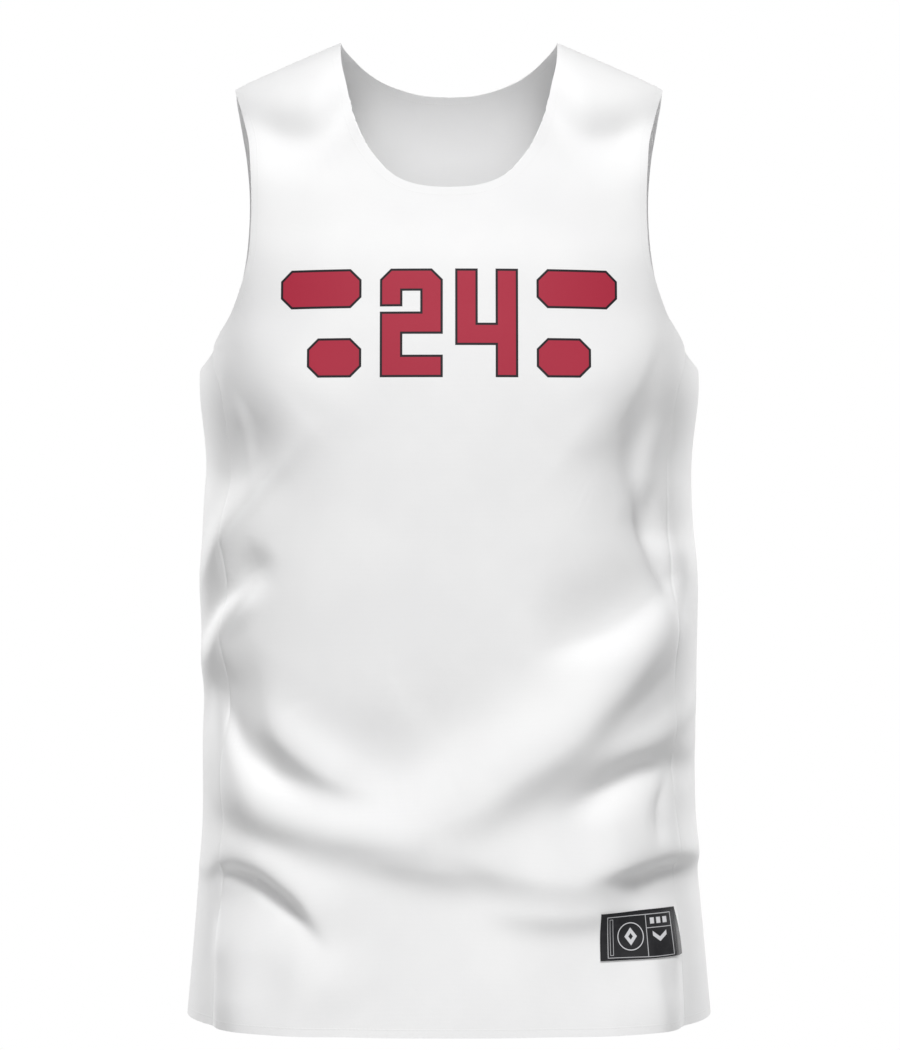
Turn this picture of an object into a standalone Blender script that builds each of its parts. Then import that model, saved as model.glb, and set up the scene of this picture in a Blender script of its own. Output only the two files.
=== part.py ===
"""Sleeveless basketball jersey in the hollow shape it has on a wearer.

Sizes are in millimetres and become metres when a mesh is made. +X is the wearer's left, -Y is
the front and +Z is up. The origin is midway between the two shoulder seams, where the wearer's
shoulders carry the jersey.

The cloth is one smooth surface, read from a table of sections, with folds moved in or out along
its normals. A place on it is an (angle, row) pair: the angle runs around the body from 0 at
centre front through a right angle at the wearer's left side to a half turn at centre back, and
the row counts the sections from the hem up to the shoulder seam. Each piece of the cut is a
patch of places between its own edges.
"""

import math
from collections import namedtuple

import bmesh
import bpy
import numpy as np
from mathutils import Matrix, Vector

MM = 0.001

# Driving dimensions
WALL = 1.6  # knit cloth, at its turned edges
LABEL_WALL = 1.0  # woven label
SEAM_GAP = 0.3  # between two pieces that are sewn together
ROUNDNESS = 2.4  # exponent of a section's oval: 2 is an ellipse, more is boxier
NECK_EASE = 40.0  # over this far from the middle, the line of the shoulders rounds over
UNDERARM_DROP = 16.0  # lowest point of the armhole below the ends of the side seams

# How many facets each edge of the cut is divided into
SEAM_CELLS = 30  # side seam, from the hem to the armhole
ARMHOLE_CELLS = 14  # from the side seam to the shoulder seam
NECK_CELLS = 12  # half a neckline
SHOULDER_CELLS = 5
SIDE_CELLS = 7  # across a side panel

# One section for each height, from the hem to the shoulder seam. level is its height at the
# middle, half_width reaches to the side, front and back are its depths at the middle, fall is
# how steeply it drops towards the arms, and front_edge and back_edge are how far from the middle
# the front and back panels end: at the side seams, and above them at the armholes.
Section = namedtuple("Section", "level half_width front back fall front_edge back_edge")
SECTIONS = [
    Section(-727.0, 200.7, 126.0, 112.0, 0.000, 175.0, 174.0),
    Section(-675.0, 196.1, 123.0, 109.0, 0.000, 172.5, 171.5),
    Section(-628.0, 192.6, 121.0, 105.0, 0.000, 171.0, 170.0),
    Section(-582.0, 189.1, 120.0, 101.0, 0.000, 169.5, 168.5),
    Section(-512.0, 189.1, 120.0, 95.0, 0.000, 168.5, 167.5),
    Section(-443.0, 190.3, 121.0, 92.0, 0.000, 168.5, 167.5),
    Section(-396.0, 191.0, 122.0, 93.0, 0.000, 168.5, 168.0),
    Section(-350.0, 189.1, 123.0, 96.0, 0.000, 168.0, 167.5),
    Section(-303.0, 191.0, 124.0, 100.0, 0.000, 168.5, 168.5),
    Section(-255.0, 193.2, 123.5, 104.0, 0.000, 171.5, 171.5),
    Section(-222.0, 190.5, 121.5, 105.5, 0.000, 177.5, 178.0),
    Section(-194.0, 185.5, 118.0, 106.0, 0.000, 160.8, 172.0),
    Section(-159.0, 181.0, 113.0, 105.5, 0.005, 148.6, 163.5),
    Section(-128.0, 177.5, 105.0, 103.0, 0.020, 145.7, 159.0),
    Section(-92.0, 175.5, 96.0, 96.0, 0.050, 146.4, 157.3),
    Section(-55.0, 174.5, 85.0, 86.0, 0.115, 150.6, 158.8),
    Section(-24.0, 174.0, 72.5, 74.0, 0.200, 155.7, 161.5),
    Section(1.0, 173.5, 58.5, 60.0, 0.290, 159.2, 163.4),
    Section(20.0, 173.0, 43.5, 44.5, 0.370, 161.8, 164.6),
    Section(33.0, 172.5, 28.5, 28.5, 0.420, 163.9, 165.0),
    Section(39.6, 172.0, 14.0, 14.0, 0.448, 164.7, 165.0),
    Section(41.8, 172.0, 0.0, 0.0, 0.457, 165.0, 165.0),
]
HEM = 0
UNDERARM = 10  # the side seams end at this section
SHOULDER = len(SECTIONS) - 1

# Half of each neckline, from the middle to the shoulder seam
NeckPoint = namedtuple("NeckPoint", "x height")
FRONT_NECK = [
    NeckPoint(0.0, -104.7),
    NeckPoint(18.0, -103.5),
    NeckPoint(34.0, -99.0),
    NeckPoint(47.5, -90.0),
    NeckPoint(59.0, -76.0),
    NeckPoint(67.5, -59.0),
    NeckPoint(73.5, -39.0),
    NeckPoint(77.8, -19.0),
    NeckPoint(81.6, -2.0),
    NeckPoint(83.2, 17.9),
]
BACK_NECK = [
    NeckPoint(0.0, -12.3),
    NeckPoint(20.0, -11.3),
    NeckPoint(38.0, -7.5),
    NeckPoint(54.0, -2.0),
    NeckPoint(66.5, 5.0),
    NeckPoint(75.0, 11.5),
    NeckPoint(83.2, 17.9),
]

# The main folds. depth is how far the cloth stands out, or in where it is negative. above and
# below are the distances over which that fades away on the two sides of the crest, and path
# holds (degrees around, height) places along the crest, on which the fold rises from nothing and
# sinks to nothing.
Fold = namedtuple("Fold", "depth above below path")
FRONT_FOLDS = [
    # The swag that hangs across the belly from both sides
    Fold(14.0, 36.0, 17.0, [
        (59, -357), (60, -378), (58, -402), (55, -426), (49, -445), (42, -467), (37, -485),
        (31, -497), (23, -518), (13, -540), (4, -563), (-6, -577), (-18, -585),
    ]),
    Fold(13.0, 22.0, 19.0, [
        (-61, -489), (-58, -521), (-53, -540), (-48, -558), (-42, -571), (-33, -579),
        (-23, -583), (-12, -582), (4, -569),
    ]),
    Fold(10.0, 20.0, 13.0, [
        (-46, -442), (-43, -483), (-40, -500), (-35, -516), (-30, -530), (-23, -541), (-13, -551),
    ]),
    Fold(-5.0, 13.0, 13.0, [(-56, -492), (-50, -519), (-44, -538), (-34, -551), (-22, -558)]),
    # Broad folds below the front of each armhole
    Fold(7.0, 30.0, 62.0, [(64, -206), (52, -222), (40, -240), (28, -266), (18, -296)]),
    Fold(7.0, 30.0, 62.0, [(-64, -206), (-52, -222), (-40, -240), (-28, -266), (-18, -296)]),
    # Wearer's left side, from the swag down
    Fold(-8.0, 16.0, 13.0, [(67, -452), (55, -477), (46, -488), (39, -494), (31, -504)]),
    Fold(5.0, 14.0, 13.0, [(90, -480), (74, -487), (59, -501), (48, -514), (39, -521), (23, -536)]),
    Fold(-5.5, 13.0, 16.0, [
        (95, -524), (73, -526), (55, -527), (46, -531), (39, -538), (33, -545), (27, -552),
        (21, -558), (11, -569),
    ]),
    Fold(8.0, 32.0, 13.0, [
        (100, -588), (74, -597), (53, -600), (44, -606), (36, -611), (28, -612), (18, -607),
        (6, -595),
    ]),
    Fold(-6.0, 13.0, 36.0, [(100, -600), (72, -611), (52, -613), (43, -619), (36, -624), (28, -631)]),
    Fold(-6.0, 15.0, 15.0, [(44, -226), (41, -258), (42, -291), (46, -328)]),
    # Wearer's right side
    Fold(9.0, 13.0, 13.0, [
        (-24, -256), (-32, -290), (-40, -319), (-49, -355), (-58, -377), (-74, -395), (-92, -412),
    ]),
    Fold(-7.0, 13.0, 13.0, [(-32, -329), (-41, -361), (-48, -385), (-57, -404), (-75, -422), (-92, -438)]),
    Fold(8.0, 13.0, 13.0, [(-36, -383), (-44, -403), (-52, -422), (-59, -440), (-77, -460), (-92, -480)]),
    Fold(-8.0, 13.0, 13.0, [(-40, -431), (-49, -450), (-59, -470), (-80, -488), (-95, -505)]),
    Fold(8.0, 24.0, 13.0, [
        (-98, -618), (-74, -610), (-54, -602), (-43, -609), (-35, -621), (-30, -636), (-25, -658),
    ]),
    Fold(-7.0, 13.0, 38.0, [
        (-98, -632), (-71, -624), (-54, -615), (-44, -623), (-37, -635), (-32, -651), (-28, -672),
    ]),
    # The hem flares under both hips
    Fold(12.0, 60.0, 20.0, [(-59, -731), (-46, -734), (-33, -738), (-20, -738)]),
    Fold(12.0, 60.0, 20.0, [(20, -736), (34, -737), (47, -735), (56, -731)]),
    # Shallow dip in each strap
    Fold(-2.5, 12.0, 12.0, [(30, -36), (42, -42), (56, -44)]),
    Fold(-2.5, 12.0, 12.0, [(-30, -36), (-42, -42), (-56, -44)]),
]
BACK_FOLDS = [
    # Swags across the small of the back
    Fold(7.0, 26.0, 14.0, [(112, -420), (128, -452), (146, -480), (166, -498), (186, -502)]),
    Fold(6.0, 24.0, 14.0, [(250, -436), (234, -478), (216, -512), (196, -532), (178, -538)]),
    Fold(-5.5, 15.0, 13.0, [(108, -455), (124, -484), (144, -512), (164, -526)]),
    Fold(-6.0, 15.0, 14.0, [(254, -470), (236, -512), (216, -548), (192, -566), (172, -568)]),
    Fold(5.5, 22.0, 13.0, [(104, -560), (122, -574), (144, -590), (168, -598), (188, -594)]),
    Fold(-6.0, 13.0, 16.0, [(100, -590), (120, -602), (142, -618), (160, -628)]),
    Fold(6.0, 22.0, 13.0, [(262, -580), (242, -590), (224, -606), (208, -634)]),
    Fold(-6.0, 13.0, 16.0, [(264, -604), (244, -612), (226, -630), (212, -658)]),
    # Creases that run down and out from the shoulder blades
    Fold(4.5, 15.0, 13.0, [(150, -250), (136, -296), (120, -338), (102, -362)]),
    Fold(-4.5, 13.0, 14.0, [(144, -298), (130, -336), (114, -368), (98, -388)]),
    Fold(4.5, 15.0, 13.0, [(216, -268), (230, -308), (244, -344), (260, -372)]),
    Fold(-4.5, 13.0, 14.0, [(222, -312), (236, -346), (250, -376), (264, -396)]),
]
FOLDS = FRONT_FOLDS + BACK_FOLDS
FOLD_STEPS = 24  # straight stretches along a fold's crest
FOLD_FADE = 0.38  # share of the crest over which a fold rises at each end
SIDE_PUSH = 0.45  # folds stand out this much less towards the sides than to the front and back

# The woven label stitched above the hem, by the wearer's left side seam. Its far edge leans.
LABEL_HEIGHT = (-673.3, -638.8)
LABEL_LEFT = 110.0
LABEL_RIGHT = (170.6, 167.0)  # at the bottom and at the top

ANGLE_STEP = 0.004  # steps over which slopes are measured
ROW_STEP = 0.02


def interpolated(table, rows):
    """A smooth curve through the table's rows, whose first and last rows only steer its ends."""
    first = np.clip(np.floor(rows).astype(int), 0, len(table) - 4)
    t = (rows - first)[..., None]
    before, start, end, after = (table[first + k] for k in range(4))
    slope_in, slope_out = (end - before) / 2, (after - start) / 2
    bend = 3 * (end - start) - 2 * slope_in - slope_out
    twist = 2 * (start - end) + slope_in + slope_out
    return start + t * (slope_in + t * (bend + t * twist))


def sections_at(rows):
    """The section table's columns at these rows. Past the shoulder seam the depths turn over
    to the other side, so that the surface runs on smoothly there."""
    table = np.array(SECTIONS)
    beyond = table[-2] * [1, 1, -1, -1, 1, 1, 1]
    return interpolated(np.vstack([2 * table[0] - table[1], table, beyond]), rows)


def fall_over(x):
    return np.hypot(x, NECK_EASE) - NECK_EASE


def drape(angles, rows):
    """Points of the cloth before it is folded."""
    level, half_width, front, back, fall = np.moveaxis(sections_at(rows)[..., :5], -1, 0)
    sine, cosine = np.sin(angles), np.cos(angles)
    swell = (np.abs(sine) ** ROUNDNESS + np.abs(cosine) ** ROUNDNESS) ** (-1 / ROUNDNESS)
    x = half_width * swell * sine
    y = -np.where(cosine > 0, front, back) * swell * cosine
    return np.stack([x, y, level - fall * fall_over(x)], axis=-1)


def steps_along(points):
    """Distance from the first point to each one, along the line through them."""
    return np.concatenate([[0], np.cumsum(np.linalg.norm(np.diff(points, axis=0), axis=1))])


def unit(vectors):
    return vectors / np.linalg.norm(vectors, axis=-1, keepdims=True)


def across_and_up(surface, angles, rows):
    across = surface(angles + ANGLE_STEP, rows) - surface(angles - ANGLE_STEP, rows)
    return across, surface(angles, rows + ROW_STEP) - surface(angles, rows - ROW_STEP)


TWO_TURNS = np.linspace(-2 * math.pi, 2 * math.pi, 1441)
GIRTHS = steps_along(drape(TWO_TURNS, np.full(len(TWO_TURNS), 6.0)))
GIRTH = GIRTHS[-1] / 2


def girth_at(angles):
    """Distance around the waist to these angles, in which folds are measured."""
    return np.interp(angles, TWO_TURNS, GIRTHS)


def curve_through(points, steps):
    """Points at even steps on a smooth curve through these ones."""
    points = np.array(points, dtype=float)
    ends = [2 * points[0] - points[1]], [2 * points[-1] - points[-2]]
    table = np.concatenate([ends[0], points, ends[1]])
    return interpolated(table, np.linspace(0, len(points) - 1, steps + 1))


def fold_lines():
    lines = []
    for fold in FOLDS:
        degrees, heights = curve_through(fold.path, FOLD_STEPS).T
        lines.append(np.stack([girth_at(np.radians(degrees)), heights], axis=-1))
    return lines


FOLD_LINES = fold_lines()


def beside_line(places, line):
    """How far each place is from the line, whether it is above it, and at what share of the
    line's length."""
    starts, runs = line[:-1], np.diff(line, axis=0)
    from_start = places[..., None, :] - starts
    share = np.clip((from_start * runs).sum(-1) / (runs**2).sum(-1), 0, 1)
    away = from_start - share[..., None] * runs
    distances = np.linalg.norm(away, axis=-1)
    nearest = distances.argmin(axis=-1)[..., None]
    turned = runs[:, 0] * away[..., 1] - runs[:, 1] * away[..., 0]
    distance, share, turned = (
        np.take_along_axis(values, nearest, -1)[..., 0] for values in (distances, share, turned)
    )
    above = turned * (line[-1, 0] - line[0, 0]) > 0
    return distance, above, (nearest[..., 0] + share) / FOLD_STEPS


def fold_depth(angles, heights):
    """How far the cloth is moved out at each place."""
    girths = girth_at(angles % (2 * math.pi))
    depth = np.zeros_like(girths)
    for fold, line in zip(FOLDS, FOLD_LINES):
        middle = line[:, 0].mean()
        near = middle + (girths - middle + GIRTH / 2) % GIRTH - GIRTH / 2
        distance, above, share = beside_line(np.stack([near, heights], axis=-1), line)
        rise = np.clip(np.minimum(share, 1 - share) / FOLD_FADE, 0, 1)
        rise = rise**2 * (3 - 2 * rise)
        width = np.where(above, fold.above, fold.below)
        depth += fold.depth * rise * np.exp(-((distance / width) ** 2))
    return depth


def cloth(angles, rows):
    """Points of the folded cloth, midway through its wall."""
    points = drape(angles, rows)
    normals = unit(np.cross(*across_and_up(drape, angles, rows)))
    depth = fold_depth(angles, points[..., 2])[..., None]
    return points + depth * normals * [SIDE_PUSH, 1, 1]


def edge_angle(x, half_width):
    share = np.clip(x / half_width, 1e-9, 1)
    return np.arctan2(1, (share**-ROUNDNESS - 1) ** (1 / ROUNDNESS))


def panel_edge(rows, column):
    """Places along the edge of the front or back panel, on the wearer's left."""
    sections = sections_at(rows)
    angles = edge_angle(sections[:, Section._fields.index(column)], sections[:, 1])
    return np.stack([angles if column == "front_edge" else math.pi - angles, rows], axis=-1)


def neckline(points, is_back):
    """Places along half a neckline, from the middle to the shoulder seam."""
    places = []
    rows = np.linspace(HEM, SHOULDER, 1000)
    sections = sections_at(rows)
    for x, height in curve_through(points, 60):
        row = np.interp(height, sections[:, 0] - sections[:, 4] * fall_over(x), rows)
        angle = edge_angle(x, np.interp(row, rows, sections[:, 1]))
        places.append((math.pi - angle if is_back else angle, row))
    return np.array(places)


def evenly(places, cells):
    """Places at even distances along this edge."""
    lengths = steps_along(drape(places[:, 0], places[:, 1]))
    wanted = np.linspace(0, lengths[-1], cells + 1)
    return np.stack([np.interp(wanted, lengths, column) for column in places.T], axis=-1)


def line_of(angle, first_row, last_row):
    rows = np.linspace(first_row, last_row, 200)
    return np.stack([np.full(len(rows), angle), rows], axis=-1)


def around(first_angle, last_angle, row):
    angles = np.linspace(first_angle, last_angle, 200)
    return np.stack([angles, np.full(len(angles), row)], axis=-1)


REACH_ROWS = np.linspace(HEM, SHOULDER, 1000)
REACHES = steps_along(drape(np.full(len(REACH_ROWS), math.pi / 4), REACH_ROWS))


def laid_flat(places):
    """These places as (distance from the middle, distance along the cloth from the hem)."""
    x = drape(places[:, 0], places[:, 1])[:, 0]
    return np.stack([x, np.interp(places[:, 1], REACH_ROWS, REACHES)], axis=-1)


def put_back(flat, is_back):
    """The places that are at these points when the panel is laid flat."""
    rows = np.interp(flat[..., 1], REACHES, REACH_ROWS)
    angles = edge_angle(flat[..., 0], sections_at(rows)[..., 1])
    return np.stack([math.pi - angles if is_back else angles, rows], axis=-1)


def patch(middle, side, bottom, top):
    """Fills the area between four edges with a line of points for each step up the middle and
    the side, each of them with a point for each step along the bottom and the top."""
    across = np.linspace(0, 1, len(bottom))[None, :, None]
    up = np.linspace(0, 1, len(middle))[:, None, None]
    filled = (1 - across) * middle[:, None] + across * side[:, None]
    filled = filled + (1 - up) * (bottom - (1 - across) * bottom[0] - across * bottom[-1])
    return filled + up * (top - (1 - across) * top[0] - across * top[-1])


def body_panel(is_back):
    """Places of the whole front or back panel, with the angle growing along each line."""
    column = "back_edge" if is_back else "front_edge"
    centre = math.pi if is_back else 0.0
    neck = neckline(BACK_NECK if is_back else FRONT_NECK, is_back)
    seam = evenly(panel_edge(np.linspace(HEM, UNDERARM, 200), column), SEAM_CELLS)
    armhole = evenly(panel_edge(np.linspace(UNDERARM, SHOULDER, 200), column), ARMHOLE_CELLS)
    shoulder = evenly(around(neck[-1, 0], armhole[-1, 0], SHOULDER), SHOULDER_CELLS)
    middle = evenly(line_of(centre, HEM, neck[0, 1]), SEAM_CELLS + ARMHOLE_CELLS)
    bottom = evenly(around(centre, seam[0, 0], HEM), NECK_CELLS + SHOULDER_CELLS)
    flat = patch(
        laid_flat(middle),
        laid_flat(np.vstack([seam, armhole[1:]])),
        laid_flat(bottom),
        laid_flat(np.vstack([evenly(neck, NECK_CELLS), shoulder[1:]])),
    )
    half = put_back(flat, is_back)
    other = half[:, :0:-1] * [-1, 1] + [2 * centre, 0]
    return np.hstack([half[:, ::-1], other[:, ::-1]] if is_back else [other, half])


def side_panel(on_right):
    """Places of the panel under one arm, whose top is the bottom of the armhole."""
    front, back = (
        evenly(panel_edge(np.linspace(HEM, UNDERARM, 200), column), SEAM_CELLS)
        for column in ("front_edge", "back_edge")
    )
    top = around(front[-1, 0], back[-1, 0], UNDERARM)
    across = np.linspace(-1, 1, len(top))
    lowest = UNDERARM_DROP / (SECTIONS[UNDERARM].level - SECTIONS[UNDERARM - 1].level)
    top[:, 1] -= lowest * (1 - across**2) ** 0.6
    bottom = evenly(around(front[0, 0], back[0, 0], HEM), SIDE_CELLS)
    left = patch(front, back, bottom, evenly(top, SIDE_CELLS))
    return left[:, ::-1] * [-1, 1] if on_right else left


def clear_of_seam(points, normals, line, beside):
    """Moves the points of an edge half a seam gap into the panel, square to the seam."""
    along = np.gradient(points[line], axis=0)
    square = unit(np.cross(normals[line], along))
    inward = np.sign((square * (points[beside] - points[line])).sum(-1, keepdims=True))
    points[line] += square * inward * SEAM_GAP / 2


def material(name, colour, roughness):
    made = bpy.data.materials.new(name)
    made.use_nodes = True
    shader = made.node_tree.nodes["Principled BSDF"]
    shader.inputs["Base Color"].default_value = (*colour, 1)
    shader.inputs["Roughness"].default_value = roughness
    shader.inputs["Metallic"].default_value = 0.0
    return made


def add_object(name, solid, finish):
    mesh = bpy.data.meshes.new(name)
    bmesh.ops.transform(solid, matrix=Matrix.Scale(MM, 4), verts=solid.verts)
    solid.to_mesh(mesh)
    solid.free()
    mesh.shade_smooth()
    mesh.set_sharp_from_angle(angle=math.radians(50))
    mesh.materials.append(finish)
    bpy.context.collection.objects.link(bpy.data.objects.new(name, mesh))


def add_skin(solid, points, outwards):
    """A sheet over these points, with each of its cells split along the shorter diagonal.
    Returns its vertices."""
    verts = [[solid.verts.new(point) for point in line] for line in points]
    for low, high in zip(verts, verts[1:]):
        for a, b, c, d in zip(low, low[1:], high[1:], high):
            rising = (a.co - c.co).length < (b.co - d.co).length
            for corners in ((a, b, c), (a, c, d)) if rising else ((a, b, d), (b, c, d)):
                solid.faces.new(corners if outwards else corners[::-1])
    return verts


def rim_of(verts):
    """A sheet's outer vertices in order, all the way round."""
    right = [line[-1] for line in verts[1:-1]]
    left = [line[0] for line in verts[1:-1]]
    return verts[0] + right + verts[-1][::-1] + left[::-1]


def wall(points, normals):
    """A closed solid, WALL thick, with these points midway through it."""
    solid = bmesh.new()
    outer = rim_of(add_skin(solid, points + normals * WALL / 2, outwards=True))
    inner = rim_of(add_skin(solid, points - normals * WALL / 2, outwards=False))
    for k in range(len(outer)):
        # Each stretch of the rim is split the same way in both pieces that meet at a seam
        if outer[k].co.z > outer[k - 1].co.z:
            solid.faces.new((outer[k], outer[k - 1], inner[k - 1]))
            solid.faces.new((outer[k], inner[k - 1], inner[k]))
        else:
            solid.faces.new((outer[k], outer[k - 1], inner[k]))
            solid.faces.new((outer[k - 1], inner[k - 1], inner[k]))
    return solid


def add_panel(name, places, finish, shoulders=False):
    """One panel of the cut. Its sides are side seams up to the underarm, and with shoulders its
    top ends in two shoulder seams."""
    angles, rows = places[..., 0], places[..., 1]
    points = cloth(angles, rows)
    normals = unit(np.cross(*across_and_up(cloth, angles, rows)))
    seam = slice(0, SEAM_CELLS + 1)
    clear_of_seam(points, normals, (seam, 0), (seam, 1))
    clear_of_seam(points, normals, (seam, -1), (seam, -2))
    if shoulders:
        for seam in (slice(0, SHOULDER_CELLS + 1), slice(-SHOULDER_CELLS - 1, None)):
            clear_of_seam(points, normals, (-1, seam), (-2, seam))
    add_object(name, wall(points, normals), finish)
    return points + normals * WALL / 2


def add_label(panel_face, finish):
    """The label, cut from the front panel's outer face and moved out from it."""
    solid = bmesh.new()
    add_skin(solid, panel_face, outwards=True)
    low, high = LABEL_HEIGHT
    leaning = Vector((high - low, 0, LABEL_RIGHT[0] - LABEL_RIGHT[1])).normalized()
    cuts = [
        ((0, 0, low), (0, 0, -1)),
        ((0, 0, high), (0, 0, 1)),
        ((LABEL_LEFT, 0, 0), (-1, 0, 0)),
        ((LABEL_RIGHT[0], 0, low), leaning),
    ]
    for place, outside in cuts:
        everything = solid.verts[:] + solid.edges[:] + solid.faces[:]
        bmesh.ops.bisect_plane(
            solid, geom=everything, plane_co=place, plane_no=outside, clear_outer=True
        )
    solid.normal_update()
    for vert in solid.verts:
        vert.co += vert.normal * (SEAM_GAP + LABEL_WALL)
    bmesh.ops.solidify(solid, geom=solid.faces[:], thickness=LABEL_WALL)
    bmesh.ops.recalc_face_normals(solid, faces=solid.faces)
    add_object("hem_label", solid, finish)


def main():
    for obj in list(bpy.data.objects):
        bpy.data.objects.remove(obj)
    knit = material("white_knit", (0.86, 0.86, 0.86), 0.75)
    woven = material("black_woven", (0.012, 0.012, 0.014), 0.6)
    front_face = add_panel("front_panel", body_panel(is_back=False), knit, shoulders=True)
    add_panel("back_panel", body_panel(is_back=True), knit, shoulders=True)
    add_panel("side_panel_left", side_panel(on_right=False), knit)
    add_panel("side_panel_right", side_panel(on_right=True), knit)
    add_label(front_face, woven)


main()
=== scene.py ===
import math

import bmesh
import bpy
import numpy as np
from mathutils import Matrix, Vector


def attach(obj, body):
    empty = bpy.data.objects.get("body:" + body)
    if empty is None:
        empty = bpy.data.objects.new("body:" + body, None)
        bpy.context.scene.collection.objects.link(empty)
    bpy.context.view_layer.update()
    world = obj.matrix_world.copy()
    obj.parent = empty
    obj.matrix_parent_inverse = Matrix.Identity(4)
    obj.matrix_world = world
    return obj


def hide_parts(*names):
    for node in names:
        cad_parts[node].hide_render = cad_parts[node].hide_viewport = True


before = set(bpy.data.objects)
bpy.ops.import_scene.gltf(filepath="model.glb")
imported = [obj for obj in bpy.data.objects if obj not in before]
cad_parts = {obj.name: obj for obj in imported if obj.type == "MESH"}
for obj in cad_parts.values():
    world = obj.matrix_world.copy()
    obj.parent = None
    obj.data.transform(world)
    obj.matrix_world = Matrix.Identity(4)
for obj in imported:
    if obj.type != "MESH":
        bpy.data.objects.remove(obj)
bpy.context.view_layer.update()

metre = 1000  # shapes are worked out in millimetres

# The cloth is one smooth surface. A place on it is an (angle, row) pair: the angle runs from 0 at
# centre front through the wearer's left side to half a turn at centre back, and the row counts
# the sections from the hem up to the shoulder seam.
shape = {
    "roundness": 2.4,
    "neckEase": 40.0,
    "underarmDrop": 16.0,
    "angleStep": 0.004,
    "rowStep": 0.02,
    "underarm": 10,
    "shoulder": 21,
    "waist": 6.0,
    "sidePush": 0.45,
    "underarmRound": 0.6,
    "edgeSteps": 300,
    "neckSteps": 120,
    "rowSteps": 2000,
    "turnSteps": 1440,
    "tiny": 1e-9,
}

# level, half width, depth in front, depth behind, fall towards the arms, front and back edge
sections = np.array([
    (-727.0, 200.7, 126.0, 112.0, 0.000, 175.0, 174.0),
    (-675.0, 196.1, 123.0, 109.0, 0.000, 172.5, 171.5),
    (-628.0, 192.6, 121.0, 105.0, 0.000, 171.0, 170.0),
    (-582.0, 189.1, 120.0, 101.0, 0.000, 169.5, 168.5),
    (-512.0, 189.1, 120.0, 95.0, 0.000, 168.5, 167.5),
    (-443.0, 190.3, 121.0, 92.0, 0.000, 168.5, 167.5),
    (-396.0, 191.0, 122.0, 93.0, 0.000, 168.5, 168.0),
    (-350.0, 189.1, 123.0, 96.0, 0.000, 168.0, 167.5),
    (-303.0, 191.0, 124.0, 100.0, 0.000, 168.5, 168.5),
    (-255.0, 193.2, 123.5, 104.0, 0.000, 171.5, 171.5),
    (-222.0, 190.5, 121.5, 105.5, 0.000, 177.5, 178.0),
    (-194.0, 185.5, 118.0, 106.0, 0.000, 160.8, 172.0),
    (-159.0, 181.0, 113.0, 105.5, 0.005, 148.6, 163.5),
    (-128.0, 177.5, 105.0, 103.0, 0.020, 145.7, 159.0),
    (-92.0, 175.5, 96.0, 96.0, 0.050, 146.4, 157.3),
    (-55.0, 174.5, 85.0, 86.0, 0.115, 150.6, 158.8),
    (-24.0, 174.0, 72.5, 74.0, 0.200, 155.7, 161.5),
    (1.0, 173.5, 58.5, 60.0, 0.290, 159.2, 163.4),
    (20.0, 173.0, 43.5, 44.5, 0.370, 161.8, 164.6),
    (33.0, 172.5, 28.5, 28.5, 0.420, 163.9, 165.0),
    (39.6, 172.0, 14.0, 14.0, 0.448, 164.7, 165.0),
    (41.8, 172.0, 0.0, 0.0, 0.457, 165.0, 165.0),
])
frontEdge, backEdge = 5, 6

# Half of each neckline as (distance from the middle, height)
frontNeck = [
    (0.0, -104.7), (18.0, -103.5), (34.0, -99.0), (47.5, -90.0), (59.0, -76.0),
    (67.5, -59.0), (73.5, -39.0), (77.8, -19.0), (81.6, -2.0), (83.2, 17.9),
]
backNeck = [
    (0.0, -12.3), (20.0, -11.3), (38.0, -7.5), (54.0, -2.0), (66.5, 5.0), (75.0, 11.5),
    (83.2, 17.9),
]

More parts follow.
